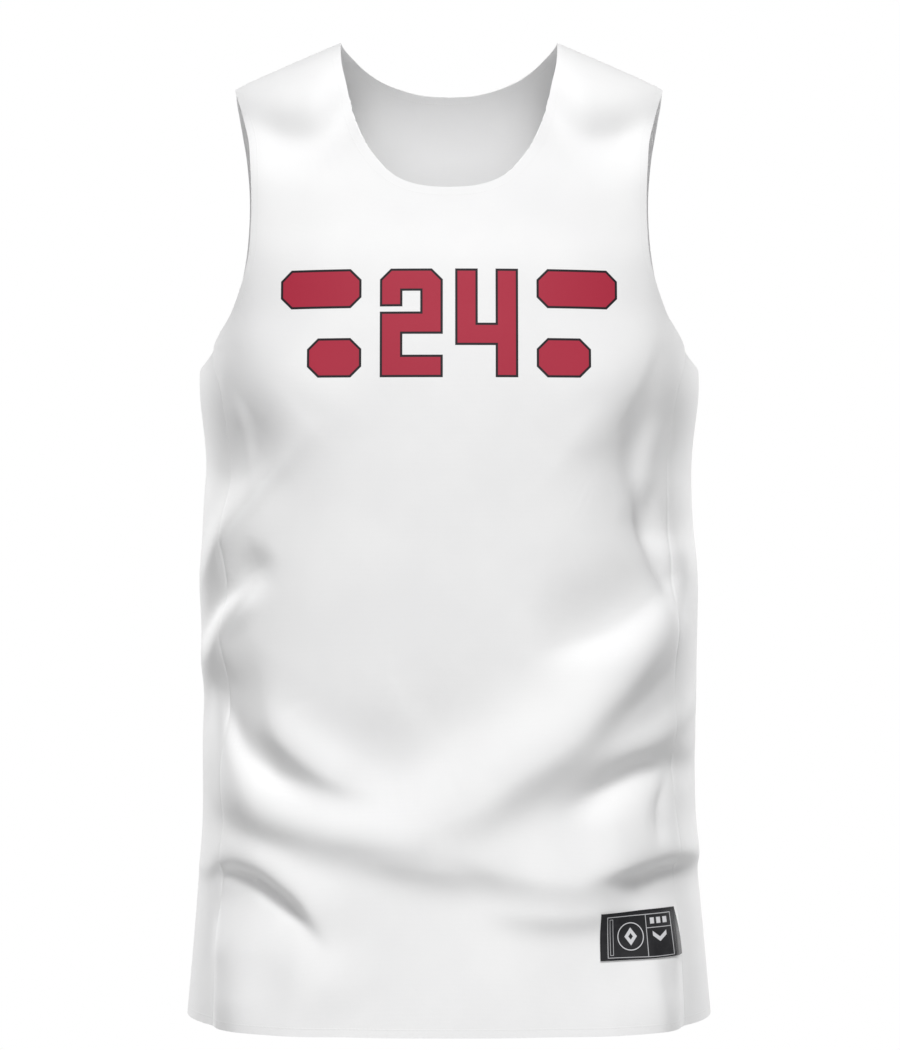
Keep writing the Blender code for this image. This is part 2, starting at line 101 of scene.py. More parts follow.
# Folds: how far out, its width above the crest, its width below, and (degrees, height) places
# along the crest. A fold that goes inwards is a trough
folds = [
    # Swag across the belly
    (15, 33, 22, [
        (63, -350), (63, -374), (60, -399), (56, -422), (49, -442), (43, -459), (38, -476),
        (32, -493), (25, -515), (15, -536), (5, -559), (-5, -572), (-15, -581), (-26, -584)
    ]),
    (13, 22, 22, [
        (-70, -471), (-62, -512), (-55, -535), (-50, -551), (-44, -564), (-35, -573),
        (-25, -580), (-16, -582), (-7, -579), (1, -570)
    ]),
    (8, 20, 11, [
        (-43, -439), (-42, -486), (-39, -507), (-33, -524), (-26, -537), (-20, -545), (-12, -549)
    ]),
    (-8, 40, 30, [
        (-36, -475), (-25, -509), (-16, -525), (-6, -524), (1, -505), (9, -475), (20, -446)
    ]),
    (-4, 12, 13, [(-73, -567), (-59, -576), (-51, -581), (-44, -587), (-36, -593), (-29, -598)]),
    (-2.5, 14, 18, [
        (-89, -565), (-53, -572), (-43, -583), (-30, -593), (-17, -600), (-5, -607), (7, -610)
    ]),
    # Below the armholes
    (4, 30, 62, [(64, -206), (52, -222), (40, -240), (28, -266), (18, -296)]),
    (4, 30, 62, [(-64, -206), (-52, -222), (-40, -240), (-28, -266), (-18, -296)]),
    (-15, 56, 28, [(-128, -304), (-92, -300), (-58, -315), (-48, -311), (-40, -295), (-32, -272)]),
    (-15, 50, 44, [(128, -304), (92, -304), (61, -306), (47, -305), (37, -296), (29, -278)]),
    # Wearer's left side
    (-10, 40, 15, [(16, -443), (25, -440), (35, -432), (43, -418), (53, -398), (69, -371)]),
    (-3, 14, 10, [(61, -440), (53, -460), (46, -476), (38, -493), (31, -506)]),
    (5, 14, 11, [
        (90, -480), (74, -487), (59, -501), (48, -514), (39, -521), (31, -528), (23, -536)
    ]),
    (-8.5, 12, 15, [
        (95, -532), (73, -536), (55, -534), (46, -535), (39, -542), (33, -552), (27, -562),
        (20, -572)
    ]),
    (6, 32, 14, [
        (-4, -580), (4, -592), (11, -604), (20, -611), (29, -614), (40, -612), (55, -605)
    ]),
    (4, 20, 24, [(29, -582), (35, -577), (42, -573), (50, -567), (62, -559)]),
    (9.5, 26, 8, [
        (115, -586), (89, -606), (63, -602), (53, -600), (46, -602), (39, -606), (33, -610),
        (26, -613)
    ]),
    (-6.5, 7, 36, [
        (115, -598), (89, -614), (63, -609), (53, -608), (46, -611), (40, -615), (33, -618),
        (27, -621)
    ]),
    (-4, 3.5, 6, [
        (72, -608), (64, -608), (58, -608), (54, -609), (51, -610), (48, -612), (44, -615),
        (41, -616), (38, -619)
    ]),
    (-5.5, 5, 14, [(58, -534), (53, -551), (50, -567), (50, -583), (51, -600)]),
    (-6, 22, 15, [(95, -355), (70, -356), (54, -358), (46, -353), (39, -339)]),
    (-9, 22, 9, [
        (42, -302), (45, -331), (47, -359), (50, -380), (54, -398), (57, -414), (56, -437)
    ]),
    (3, 11, 30, [(36, -258), (37, -291), (38, -324), (40, -357)]),
    (3, 14, 12, [(52, -268), (50, -294), (48, -320), (46, -342)]),
    # Wearer's right side
    (10.5, 20, 11, [
        (-28, -269), (-36, -299), (-43, -320), (-51, -343), (-59, -365), (-70, -388), (-92, -412)
    ]),
    (-9.5, 18, 11, [(-40, -370), (-44, -382), (-50, -394), (-58, -408), (-72, -429), (-92, -438)]),
    (9, 16, 11, [
        (-41, -390), (-45, -402), (-49, -414), (-55, -428), (-63, -448), (-78, -468), (-92, -490)
    ]),
    (-9, 20, 34, [(-44, -439), (-51, -469), (-59, -479), (-80, -483), (-95, -500)]),
    (-8.5, 16, 10, [(-67, -456), (-58, -488), (-51, -515), (-43, -534), (-34, -548), (-26, -555)]),
    (9.5, 24, 8, [
        (-110, -610), (-69, -613), (-55, -603), (-47, -603), (-42, -608), (-37, -617),
        (-33, -626), (-29, -639), (-26, -651), (-23, -666)
    ]),
    (-7, 7, 38, [
        (-110, -626), (-70, -622), (-58, -614), (-50, -612), (-44, -616), (-39, -625),
        (-35, -634), (-32, -646), (-29, -658), (-26, -672)
    ]),
    (-4, 3.5, 6, [
        (-68, -620), (-60, -615), (-54, -612), (-49, -614), (-45, -617), (-42, -622),
        (-38, -628), (-35, -635), (-32, -643), (-29, -653)
    ]),
    (3, 9, 8, [(-53, -249), (-51, -272), (-49, -298), (-48, -328)]),
    # Towards the hem
    (5, 26, 26, [(-53, -630), (-37, -662), (-27, -690), (-19, -716)]),
    (14, 34, 9, [(-56, -628), (-54, -670), (-52, -710), (-49, -765)]),
    (14, 32, 10, [(54, -628), (52, -670), (51, -710), (49, -765)]),
    (7, 36, 12, [(5, -631), (17, -637), (27, -638), (36, -635), (45, -630)]),
    (5.5, 22, 13, [(-23, -593), (-11, -599), (0, -604), (14, -605)]),
    (-5, 30, 60, [(-21, -638), (-6, -636), (9, -633), (26, -628)]),
    (12, 60, 20, [(-59, -731), (-46, -734), (-33, -738), (-20, -738)]),
    (12, 60, 20, [(20, -736), (34, -737), (47, -735), (56, -731)]),
    # Straps
    (7, 20, 34, [(-59, -1), (-59, -47), (-56, -94), (-55, -132), (-58, -177), (-64, -214)]),
    (7, 20, 34, [(59, -1), (59, -47), (56, -94), (55, -132), (58, -177), (64, -214)]),
    (-12, 19, 26, [
        (-89, -25), (-76, -36), (-59, -47), (-50, -55), (-42, -61), (-34, -62), (-28, -52),
        (-24, -32), (-23, -15), (-22, 2), (-22, 17)
    ]),
    (-12, 19, 26, [
        (89, -25), (76, -36), (59, -47), (50, -55), (42, -61), (34, -62), (28, -52), (24, -32),
        (23, -15), (22, 2), (22, 17)
    ]),
    # Across the small of the back
    (7.0, 26, 14, [(112, -420), (128, -452), (146, -480), (166, -498), (186, -502)]),
    (6.0, 24, 14, [(250, -436), (234, -478), (216, -512), (196, -532), (178, -538)]),
    (-5.5, 15, 13, [(108, -455), (124, -484), (144, -512), (164, -526)]),
    (-6.0, 15, 14, [(254, -470), (236, -512), (216, -548), (192, -566), (172, -568)]),
    (5.5, 22, 12, [(104, -560), (122, -574), (144, -590), (168, -598), (188, -594)]),
    (-6.0, 12, 16, [(100, -590), (120, -602), (142, -618), (160, -628)]),
    (6.0, 22, 11, [(262, -580), (242, -590), (224, -606), (208, -634)]),
    (-6.0, 11, 16, [(264, -604), (244, -612), (226, -630), (212, -658)]),
    # Down and out from the shoulder blades
    (4.5, 15, 13, [(150, -250), (136, -296), (120, -338), (102, -362)]),
    (-4.5, 13, 14, [(144, -298), (130, -336), (114, -368), (98, -388)]),
    (4.5, 15, 13, [(216, -268), (230, -308), (244, -344), (260, -372)]),
    (-4.5, 13, 14, [(222, -312), (236, -346), (250, -376), (264, -396)]),
]
foldSteps = 40
foldFade = 0.38  # share of the crest over which each end fades
foldReach = 2.6  # widths away from the crest at which a fold stops


def interpolated(table, rows):
    first = np.clip(np.floor(rows).astype(int), 0, len(table) - 4)
    t = (rows - first)[..., None]
    before, start, end, after = (table[first + k] for k in range(4))
    slopeIn, slopeOut = (end - before) / 2, (after - start) / 2
    bend = 3 * (end - start) - 2 * slopeIn - slopeOut
    twist = 2 * (start - end) + slopeIn + slopeOut
    return start + t * (slopeIn + t * (bend + t * twist))


def sectionsAt(rows):
    # Past the shoulder seam the depths turn over to the other side
    beyond = sections[-2] * [1, 1, -1, -1, 1, 1, 1]
    return interpolated(np.vstack([2 * sections[0] - sections[1], sections, beyond]), rows)


def fallOver(x):
    return np.hypot(x, shape["neckEase"]) - shape["neckEase"]


def drape(angles, rows):
    level, halfWidth, front, back, fall = np.moveaxis(sectionsAt(rows)[..., :5], -1, 0)
    n = shape["roundness"]
    sine, cosine = np.sin(angles), np.cos(angles)
    swell = (np.abs(sine) ** n + np.abs(cosine) ** n) ** (-1 / n)
    x = halfWidth * swell * sine
    y = -np.where(cosine > 0, front, back) * swell * cosine
    return np.stack([x, y, level - fall * fallOver(x)], axis=-1)


def stepsAlong(points):
    return np.concatenate([[0], np.cumsum(np.linalg.norm(np.diff(points, axis=0), axis=1))])


def unit(vectors):
    return vectors / np.linalg.norm(vectors, axis=-1, keepdims=True)


def normalsOf(surface, angles, rows):
    da, dr = shape["angleStep"], shape["rowStep"]
    across = surface(angles + da, rows) - surface(angles - da, rows)
    return unit(np.cross(across, surface(angles, rows + dr) - surface(angles, rows - dr)))


wholeTurn = 2 * math.pi
twoTurns = np.linspace(-wholeTurn, wholeTurn, shape["turnSteps"] + 1)
girths = stepsAlong(drape(twoTurns, np.full(len(twoTurns), shape["waist"])))
wholeGirth = girths[-1] / 2


def girthAt(angles):
    return np.interp(angles, twoTurns, girths)


def curveThrough(points, steps):
    points = np.array(points, dtype=float)
    table = np.vstack([2 * points[0] - points[1], points, 2 * points[-1] - points[-2]])
    return interpolated(table, np.linspace(0, len(points) - 1, steps + 1))


def foldLine(path):
    degrees, heights = curveThrough(path, foldSteps).T
    return np.stack([girthAt(np.radians(degrees)), heights], axis=-1)


foldLines = [foldLine(fold[3]) for fold in folds]


def foldDepth(angles, heights):
    around = girthAt(angles % wholeTurn)
    depth = np.zeros_like(around)
    for (amount, above, below, _), line in zip(folds, foldLines):
        middle = line[:, 0].mean()
        near = middle + (around - middle + wholeGirth / 2) % wholeGirth - wholeGirth / 2
        places = np.stack([near, heights], axis=-1)
        spread = foldReach * max(above, below)
        inside = ((places > line.min(0) - spread) & (places < line.max(0) + spread)).all(-1)
        fromStart = places[inside][:, None] - line[:-1]
        runs = np.diff(line, axis=0)
        share = np.clip((fromStart * runs).sum(-1) / (runs**2).sum(-1), 0, 1)
        away = fromStart - share[..., None] * runs
        distances = np.linalg.norm(away, axis=-1)
        nearest = distances.argmin(axis=-1)
        pick = np.arange(len(nearest)), nearest
        side = (runs[nearest, 0] * away[pick][:, 1] - runs[nearest, 1] * away[pick][:, 0])
        side = side * np.sign(line[-1, 0] - line[0, 0])
        along = (nearest + share[pick]) / foldSteps
        rise = np.clip(np.minimum(along, 1 - along) / foldFade, 0, 1)
        rise = rise**2 * (3 - 2 * rise)
        width = np.where(side > 0, above, below)
        depth[inside] += amount * rise * np.exp(-((distances[pick] / width) ** 2))
    return depth


def cloth(angles, rows):
    # Folds push more to the front and back than to the sides
    points = drape(angles, rows)
    push = normalsOf(drape, angles, rows) * [shape["sidePush"], 1, 1]
    return points + foldDepth(angles, points[..., 2])[..., None] * push


def edgeAngle(x, halfWidth):
    n = shape["roundness"]
    share = np.clip(x / halfWidth, shape["tiny"], 1)
    return np.arctan2(1, (share**-n - 1) ** (1 / n))


def panelEdge(firstRow, lastRow, column):
    rows = np.linspace(firstRow, lastRow, shape["edgeSteps"])
    there = sectionsAt(rows)
    angles = edgeAngle(there[:, column], there[:, 1])
    return np.stack([angles if column == frontEdge else math.pi - angles, rows], axis=-1)


def neckLine(points, isBack):
    rows = np.linspace(0, shape["shoulder"], shape["rowSteps"])
    there = sectionsAt(rows)
    places = []
    for x, height in curveThrough(points, shape["neckSteps"]):
        row = np.interp(height, there[:, 0] - there[:, 4] * fallOver(x), rows)
        angle = edgeAngle(x, np.interp(row, rows, there[:, 1]))
        places.append((math.pi - angle if isBack else angle, row))
    return np.array(places)


def spaced(places, shares):
    lengths = stepsAlong(drape(places[:, 0], places[:, 1]))
    return np.stack([np.interp(shares * lengths[-1], lengths, c) for c in places.T], axis=-1)


def aroundRow(firstAngle, lastAngle, row):
    angles = np.linspace(firstAngle, lastAngle, shape["edgeSteps"])
    return np.stack([angles, np.full(len(angles), float(row))], axis=-1)


# How far each row is up the cloth, measured an eighth of a turn from the front
reachRows = np.linspace(0, shape["shoulder"], shape["rowSteps"])
reaches = stepsAlong(drape(np.full(len(reachRows), math.pi / 4), reachRows))


def laidFlat(places):
    x = drape(places[:, 0], places[:, 1])[:, 0]
    return np.stack([x, np.interp(places[:, 1], reachRows, reaches)], axis=-1)


def putBack(flat, isBack):
    rows = np.interp(flat[..., 1], reaches, reachRows)
    angles = edgeAngle(flat[..., 0], sectionsAt(rows)[..., 1])
    return np.stack([math.pi - angles if isBack else angles, rows], axis=-1)


def patch(middle, side, bottom, top, across, up):
    # Fills the area between four edges. across and up are the shares along them
    across, up = across[None, :, None], up[:, None, None]
    filled = (1 - across) * middle[:, None] + across * side[:, None]
    filled = filled + (1 - up) * (bottom - (1 - across) * bottom[0] - across * bottom[-1])
    return filled + up * (top - (1 - across) * top[0] - across * top[-1])


def relaxed(flat, across, up):
    # Evens out the cells by the neck. The edges stay where they are
    ties = [1 / (np.diff(places) * len(places)) for places in (across, up)]
    left, right = ties[0][None, :-1, None], ties[0][None, 1:, None]
    below, above = ties[1][:-1, None, None], ties[1][1:, None, None]
    total = left + right + below + above
    flat = flat.copy()
    for _ in range(body["relaxSteps"]):
        pulled = left * flat[1:-1, :-2] + right * flat[1:-1, 2:]
        pulled += below * flat[:-2, 1:-1] + above * flat[2:, 1:-1]
        flat[1:-1, 1:-1] = pulled / total
    return flat


def shares(cells, closeAtStart=0.0, closeAtEnd=0.0):
    # Even shares, with two narrow cells at an end that is given a width for them
    low, high = closeAtStart, 1 - closeAtEnd
    outer = 0.4  # share of the two cells that the one at the edge takes
    start = [0, outer * low] if low else []
    end = [1 - outer * closeAtEnd, 1] if closeAtEnd else []
    return np.concatenate([start, np.linspace(low, high, cells + 1), end])


# Small pieces of shader maths: a socket that ordinary arithmetic works on
class Wire:
    def __init__(self, tree, socket=None):
        self.tree = tree
        self.socket = socket

    def add(self, kind, settings=None, values=None, output=0):
        node = self.tree.nodes.new(kind)
        for name, value in (settings or {}).items():
            setattr(node, name, value)
        for name, value in (values or {}).items():
            self.feed(node.inputs[name], value)
        return Wire(self.tree, node.outputs[output])

    def feed(self, socket, value):
        if isinstance(value, Wire):
            self.tree.links.new(value.socket, socket)
        else:
            socket.default_value = value

    def maths(self, operation, *values):
        return self.add("ShaderNodeMath", {"operation": operation}, dict(enumerate(values)))

    def __add__(self, other):
        return self.maths("ADD", self, other)

    def __sub__(self, other):
        return self.maths("SUBTRACT", self, other)

    def __rsub__(self, other):
        return self.maths("SUBTRACT", other, self)

    def __mul__(self, other):
        return self.maths("MULTIPLY", self, other)

    def __truediv__(self, other):
        return self.maths("DIVIDE", self, other)

    def __neg__(self):
        return self * -1.0

    def __abs__(self):
        return self.maths("ABSOLUTE", self)

    __radd__ = __add__

    def least(self, other):
        return self.maths("MINIMUM", self, other)

    def most(self, other):
        return self.maths("MAXIMUM", self, other)

    def sine(self):
        return self.maths("SINE", self)

    def part(self):
        return self.maths("FRACT", self)

    def rises(self, low, high):
        values = {"Value": self, "From Min": low, "From Max": high}
        return self.add("ShaderNodeMapRange", {"interpolation_type": "SMOOTHSTEP"}, values)

    def falls(self, low, high):
        return 1.0 - self.rises(low, high)

    def mixed(self, first, second):
        # self is how much of the second colour shows
        settings = {"data_type": "RGBA"}
        return self.add("ShaderNodeMix", settings, {0: self, 6: first, 7: second}, output=2)


def noise(start, vector, scale, detail=2.0):
    values = {"Vector": vector, "Scale": scale, "Detail": detail}
    return start.add("ShaderNodeTexNoise", {"noise_dimensions": "3D"}, values)


def newMaterial(name, constants):
    made = bpy.data.materials.new(name)
    made.use_nodes = True
    tree = made.node_tree
    shader = tree.nodes["Principled BSDF"]
    for socket, value in constants.items():
        shader.inputs[socket].default_value = value
    return made, Wire(tree), shader


def attributeOf(start, name):
    return start.add("ShaderNodeAttribute", {"attribute_name": name}, output="Fac")


def splitOf(start, vector, count):
    split = start.add("ShaderNodeSeparateXYZ", values={0: vector})
    return [Wire(start.tree, split.socket.node.outputs[k]) for k in range(count)]


def placeOf(start):
    return start.add("ShaderNodeTexCoord", output="Object")


def flatPlaceOf(start, layer):
    return splitOf(start, start.add("ShaderNodeUVMap", {"uv_map": layer}), 2)


def bumped(start, height, strength=1.0, below=None):
    # The height is in millimetres
    values = {"Height": height, "Strength": strength, "Distance": 1 / metre}
    if below:
        values["Normal"] = below
    return start.add("ShaderNodeBump", values=values)


# Lengths in metres and heights in millimetres
knit = {
    "wale": 0.0011,
    "course": 0.0009,
    "legSlant": 1.1,
    "ribShare": 0.6,
    "loopFloor": -0.6,
    "loopDepth": 0.05,
    "loopStrength": 0.7,
    "constants": {"Sheen Weight": 0.12, "Sheen Roughness": 0.45, "Specular IOR Level": 0.28},
    "white": (0.87, 0.87, 0.87, 1),
    "shade": (0.83, 0.83, 0.833, 1),
    # painted shade: the darker colour given to the dips between the knit's loops
    "gap": (0.66, 0.66, 0.665, 1),
    "gapShare": 0.35,
    "roughness": 0.60,
    "fineRoughness": 0.12,
    "wideRoughness": 0.05,
    "wideScale": 9.0,
    "wideDetail": 3.0,
    "wideShades": (0.35, 0.7),
    "wideHeight": 0.25,
    "fineScale": 420.0,
    "seamWidth": 0.0022,
    "seamDepth": 0.14,
    "stitchPitch": 0.0026,
    "stitchWidths": (0.00025, 0.0007),
    "stitchGaps": (-0.9, -0.3),
    "stitchesAt": 0.006,
    "stitchHeight": 0.06,
}


def knitHeight(start, around, up):
    # Columns of V-shaped loops
    leg = abs((around / knit["wale"]).part() - 0.5)
    rib = (leg * wholeTurn).sine()
    rung = ((up / knit["course"] - leg * knit["legSlant"]) * wholeTurn).sine()
    share = knit["ribShare"]
    return (rib * share + rung * (1 - share)).most(knit["loopFloor"])


def stitchLine(distance, along):
    # A row of short stitches inside an edge, as a height from 0 to 1
    thread = abs(distance - knit["stitchesAt"]).falls(*knit["stitchWidths"])
    return thread * (along / knit["stitchPitch"] * wholeTurn).sine().rises(*knit["stitchGaps"])


def knitMaterial(name, design=None):
    made, start, shader = newMaterial(name, knit["constants"])
    where = placeOf(start)
    around, up = flatPlaceOf(start, "weave")
    seam, edge = attributeOf(start, "seam"), attributeOf(start, "edge")
    loops = knitHeight(start, around, up)
    wide = noise(start, where, knit["wideScale"], knit["wideDetail"])
    fine = noise(start, where, knit["fineScale"])
    colour = wide.rises(*knit["wideShades"]).mixed(knit["shade"], knit["white"])
    # Painted shade: the colour darkens where the loops dip lowest, between them
    gaps = loops.falls(knit["loopFloor"], 0.0) * knit["gapShare"]
    colour = gaps.mixed(colour, knit["gap"])
    rough = knit["roughness"] + fine * knit["fineRoughness"] + wide * knit["wideRoughness"]
    height = -seam.falls(0.0, knit["seamWidth"]) * knit["seamDepth"]
    height = height + stitchLine(edge, around + up) * knit["stitchHeight"]
    height = height + wide * knit["wideHeight"]
    if design:
        x, _, z = splitOf(start, where, 3)
        shown = attributeOf(start, "outside").most(printed["showThrough"])
        fill, rim = (part * shown for part in design(x, z))
        colour = fill.mixed(rim.mixed(colour, printed["rim"]), printed["fill"])
        cover = rim.most(fill)
        loops = loops * (1.0 - cover * printed["loopsHidden"])
        rough = rough - cover * printed["smoother"]
        height = height + cover * printed["thickness"]
    normal = bumped(start, height)
    normal = bumped(start, loops * knit["loopDepth"], knit["loopStrength"], normal)
    start.feed(shader.inputs["Base Color"], colour)
    start.feed(shader.inputs["Roughness"], rough)
    start.feed(shader.inputs["Normal"], normal)
    return made


# A plain block number between pairs of bars, in metres. Only the thickness is in millimetres
printed = {
    "fill": (0.40, 0.022, 0.050, 1),
    "rim": (0.012, 0.008, 0.012, 1),
    "rimWidth": 0.0017,
    "top": -0.166,
    "height": 0.080,
    "stroke": 0.0165,
    "digitWidth": 0.046,
    "digitGap": 0.009,
    "barFrom": 0.064,
    "barTo": (0.124, 0.104),
    "barHeight": 0.029,
    "chamfer": 0.008,
    "hook": 0.028,
    "edge": 0.00015,
    "showThrough": 0.05,
    "loopsHidden": 0.55,
    "smoother": 0.10,
    "thickness": 0.08,
}


def slab(x, z, left, right, bottom, top, chamfer=None):
    # Distance outside a box, negative inside it. Its corners may be cut off
    across = abs(x - (left + right) / 2) - (right - left) / 2
    upwards = abs(z - (bottom + top) / 2) - (top - bottom) / 2
    outside = across.most(upwards)
    if chamfer is None:
        return outside
    return outside.most((across + upwards + chamfer) * math.sqrt(0.5))


def slabs(x, z, boxes):
    found = slab(x, z, *boxes[0])
    for box in boxes[1:]:
        found = found.least(slab(x, z, *box))
    return found


def chestDesign(x, z):
    # How much of the fill shows, and how much of the fill and its rim
    top, bottom = printed["top"], printed["top"] - printed["height"]
    stroke, corner = printed["stroke"], printed["chamfer"]
    middle, half = (top + bottom) / 2, stroke / 2
    right = -printed["digitGap"] / 2
    left = right - printed["digitWidth"]
    two = slabs(x, z, [
        (left, right, top - stroke, top),
        (left, left + stroke, top - printed["hook"], top),
        (right - stroke, right, middle - half, top),
        (left, right, middle - half, middle + half),
        (left, left + stroke, bottom, middle + half),
        (left, right, bottom, bottom + stroke),
    ])
    # Only its upper corners are cut off
    two = two.most(slab(x, z, left, right, bottom - printed["height"], top, corner))
    left = printed["digitGap"] / 2
    right = left + printed["digitWidth"]
    four = slabs(x, z, [
        (left, left + stroke, middle - stroke, top),
        (left, right, middle - stroke, middle),
        (right - stroke, right, bottom, top),
    ])
    start, (longer, shorter), deep = printed["barFrom"], printed["barTo"], printed["barHeight"]
    bars = slabs(abs(x), z, [
        (start, longer, top - deep, top, corner),
        (start, shorter, bottom, bottom + deep, corner),
    ])
    inside, rim, edge = two.least(four).least(bars), printed["rimWidth"], printed["edge"]
    return inside.falls(-rim - edge, edge - rim), inside.falls(-edge, edge)


def addPiece(name, mesh, material, replaced):
    made = bpy.data.objects.new(name, mesh)
    bpy.context.collection.objects.link(made)
    mesh.materials.append(material)
    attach(made, "root")
    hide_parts(replaced)
    return made


def lineDistances(points, line, batch=60):
    # Distance from each point to the nearest of a line's points
    flat = points.reshape(-1, 3)
    found = np.full(len(flat), np.inf)
    for start in range(0, len(line), batch):
        gaps = np.linalg.norm(flat[:, None] - line[None, start:start + batch], axis=-1)
        found = np.minimum(found, gaps.min(axis=1))
    return found.reshape(points.shape[:-1])


def denser(line, times=6):
    steps = np.linspace(0, len(line) - 1, (len(line) - 1) * times + 1)
    return np.stack([np.interp(steps, np.arange(len(line)), c) for c in line.T], axis=-1)


def nearestOf(points, lines):
    found = np.full(points.shape[:-1], body["farOff"])
    for line in lines:
        found = np.minimum(found, lineDistances(points, denser(points[line])))
    return found


def storeValues(mesh, name, values):
    stored = mesh.attributes.new(name, "FLOAT", "POINT")
    stored.data.foreach_set("value", values.astype(np.float32))


def sheetMesh(name, places, thickness, lift=0.0, seamLines=(), edgeLines=()):
    # A sheet of cloth over these places, made into a thin wall
    lines, columns = places.shape[:2]
    angles, rows = places[..., 0], places[..., 1]
    points = cloth(angles, rows)
    seam, edge = nearestOf(points, seamLines), nearestOf(points, edgeLines)
    outwards = normalsOf(cloth, angles, rows)
    dip = body["seamDip"] * np.exp(-((seam / body["seamDipWidth"]) ** 2))
    points = points + outwards * (lift - dip)[..., None]
    mesh = bmesh.new()
    bmesh.ops.create_grid(mesh, x_segments=columns - 1, y_segments=lines - 1, size=1)
    mesh.verts.ensure_lookup_table()
    column = np.array([round((vert.co.x + 1) / 2 * (columns - 1)) for vert in mesh.verts])
    line = np.array([round((vert.co.y + 1) / 2 * (lines - 1)) for vert in mesh.verts])
    for vert, point in zip(mesh.verts, points[line, column] / metre):
        vert.co = point
    weave = mesh.loops.layers.uv.new("weave")
    around = girthAt(angles)[line, column] / metre
    up = np.interp(rows, reachRows, reaches)[line, column] / metre
    for face in mesh.faces:
        for loop in face.loops:
            loop[weave].uv = around[loop.vert.index], up[loop.vert.index]
    flat = bpy.data.meshes.new(name)
    mesh.to_mesh(flat)
    mesh.free()
    storeValues(flat, "seam", seam[line, column] / metre)
    storeValues(flat, "edge", edge[line, column] / metre)
    walled = thickened(name, flat, thickness)
    # The first half of the wall's points is one side of the sheet, and the second half the other
    half = len(line)
    away = np.array([point.co for point in walled.vertices[:half]]) * metre - points[line, column]
    outer = (away * outwards[line, column]).sum(axis=-1) > 0
    storeValues(walled, "outside", np.concatenate([outer, ~outer]))
    return walled


def thickened(name, mesh, thickness):
    # The sheet's points stay midway through the wall
    sheet = bpy.data.objects.new(name + ".flat", mesh)
    bpy.context.collection.objects.link(sheet)
    wall = sheet.modifiers.new("wall", "SOLIDIFY")
    wall.thickness = thickness / metre
    wall.offset = 0
    view = bpy.context.evaluated_depsgraph_get()
    made = bpy.data.meshes.new_from_object(sheet.evaluated_get(view), depsgraph=view)
    made.name = name
    bpy.data.objects.remove(sheet)
    made.shade_smooth()
    made.set_sharp_from_angle(angle=math.radians(body["sharpFrom"]))
    return made


# Lengths in millimetres, but the cuts in metres and square metres
body = {
    "wall": 1.3,
    "seamCells": 150,
    "armholeCells": 74,
    "neckCells": 46,
    "shoulderCells": 20,
    "sideCells": 34,
    "closeAtSeam": 0.018,
    "closeAtShoulder": 0.05,
    "closeAtSide": 0.05,
    "relaxSteps": 500,
    "seamDip": 0.3,
    "seamDipWidth": 2.5,
    "farOff": 50.0,
    "sharpFrom": 50,
    "frontCut": (0.398, 0.796),
    "frontArea": 0.2618,
    "backCut": (0.368, 0.792),
    "backArea": 0.2693,
    "sideCut": (0.155, 0.519),
    "sideArea": 0.0680,
}


def bodyPlaces(isBack):
    column = backEdge if isBack else frontEdge
    centre = math.pi if isBack else 0.0
    neck = neckLine(backNeck if isBack else frontNeck, isBack)
    across = shares(body["neckCells"] + body["shoulderCells"], closeAtEnd=body["closeAtSeam"])
    seamShares, armholeShares = shares(body["seamCells"]), shares(body["armholeCells"])
    seam = spaced(panelEdge(0, shape["underarm"], column), seamShares)
    armhole = spaced(panelEdge(shape["underarm"], shape["shoulder"], column), armholeShares)
    shoulder = aroundRow(neck[-1, 0], armhole[-1, 0], shape["shoulder"])
    shoulderShares = shares(body["shoulderCells"], closeAtEnd=body["closeAtShoulder"])
    up = shares(body["seamCells"] + body["armholeCells"])
    middle = spaced(panelMiddle(centre, neck[0, 1]), up)
    bottom = spaced(aroundRow(centre, seam[0, 0], 0), across)
    neckTop = spaced(neck, shares(body["neckCells"]))
    top = np.vstack([neckTop, spaced(shoulder, shoulderShares)[1:]])
    side = np.vstack([seam, armhole[1:]])
    flat = patch(*(laidFlat(edge) for edge in (middle, side, bottom, top)), across, up)
    half = putBack(relaxed(flat, across, up), isBack)
    other = half[:, :0:-1] * [-1, 1] + [2 * centre, 0]
    return np.hstack([half[:, ::-1], other[:, ::-1]] if isBack else [other, half])


def panelMiddle(angle, lastRow):
    rows = np.linspace(0, lastRow, shape["edgeSteps"])
    return np.stack([np.full(len(rows), angle), rows], axis=-1)


def sidePlaces(onRight):
    up = shares(body["seamCells"])
    across = shares(body["sideCells"], body["closeAtSide"], body["closeAtSide"])
    front, back = (
        spaced(panelEdge(0, shape["underarm"], column), up) for column in (frontEdge, backEdge)
    )
    # The top sinks in a curve under the arm
    top = aroundRow(front[-1, 0], back[-1, 0], shape["underarm"])
    away = np.linspace(-1, 1, len(top))
    below, level = sections[shape["underarm"] - 1:shape["underarm"] + 1, 0]
    lowest = shape["underarmDrop"] / (level - below)
    top[:, 1] -= lowest * (1 - away**2) ** shape["underarmRound"]
    bottom = spaced(aroundRow(front[0, 0], back[0, 0], 0), across)
    left = patch(front, back, bottom, spaced(top, across), across, up)
    return left[:, ::-1] * [-1, 1] if onRight else left


def clothOf(name, places, material, seamLines, edgeLines, replaced):
    mesh = sheetMesh(name, places, body["wall"], seamLines=seamLines, edgeLines=edgeLines)
    return addPiece(name, mesh, material, replaced)


whole = slice(None)
seamRows = slice(0, body["seamCells"] + 1)
armRows = slice(body["seamCells"], None)
shoulderColumns = body["shoulderCells"] + 2  # with the two narrow cells at the end
neckColumns = slice(shoulderColumns, -shoulderColumns)
leftShoulder = slice(-shoulderColumns - 1, None)
rightShoulder = slice(0, shoulderColumns + 1)
bodySeams = [(seamRows, 0), (seamRows, -1), (-1, leftShoulder), (-1, rightShoulder)]
bodyEdges = [(armRows, 0), (armRows, -1), (-1, neckColumns), (0, whole)]

